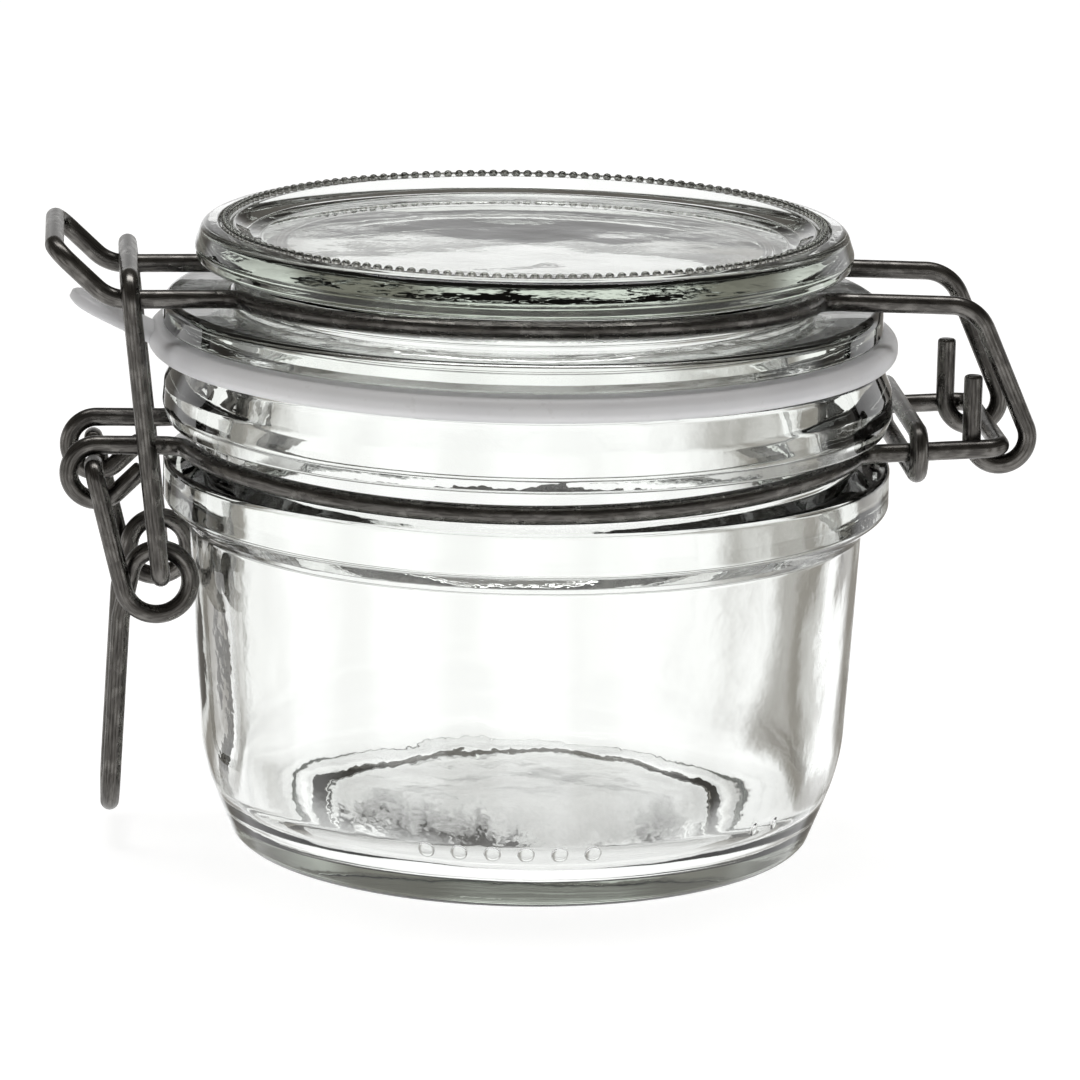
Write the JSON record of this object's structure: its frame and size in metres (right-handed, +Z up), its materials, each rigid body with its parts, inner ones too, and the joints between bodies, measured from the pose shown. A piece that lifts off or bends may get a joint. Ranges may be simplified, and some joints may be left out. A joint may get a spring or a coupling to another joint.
{
  "type": "clip top jar",
  "caption": "Small round clear glass jar with a clip-down glass lid on a rubber ring, held by a wire hinge and a wire lever clip.",
  "frame": {"origin": "middle of the whole part's length and width, wires included, at the height of the surface the jar stands on", "axes": "+X towards the hinge, -X towards the clip, +Z up; -Y is the side the picture shows"},
  "size_m": [0.1162, 0.0886, 0.0745],
  "materials": {
    "clear_glass": "clear pressed glass, smooth and slightly wavy, with a faint grey green tint in its thick edges",
    "milky_rubber": "milky, slightly see-through soft rubber with a satin surface",
    "grey_steel": "bright drawn wire, grey, with fine lines along it"
  },
  "bodies": {
    "jar": {"glass_jar": "clear_glass", "gasket": "milky_rubber", "neck_wire": "grey_steel", "tie_link": "grey_steel"},
    "lid": {"glass_lid": "clear_glass", "lid_wire": "grey_steel"},
    "lever": {"lever": "grey_steel"},
    "bail": {"lock_bail": "grey_steel"}
  },
  "joints": [
    {"name": "lid_hinge", "type": "hinge", "parent": "jar", "child": "lid", "pos_m": [0.0537, 0, 0.05], "axis": [0, 1, 0], "range_deg": [0, 110]},
    {"name": "lever_pivot", "type": "hinge", "parent": "jar", "child": "lever", "pos_m": [-0.0524, 0, 0.0462], "axis": [0, 1, 0], "range_deg": [0, 150]},
    {"name": "bail_pivot", "type": "hinge", "parent": "lever", "child": "bail", "pos_m": [-0.04455, 0, 0.0337], "axis": [0, -1, 0], "range_deg": [0, 270]}
  ],
  "couplings": [
    {"joint": "bail_pivot", "follows": "lever_pivot", "ratio": 1.8}
  ]
}
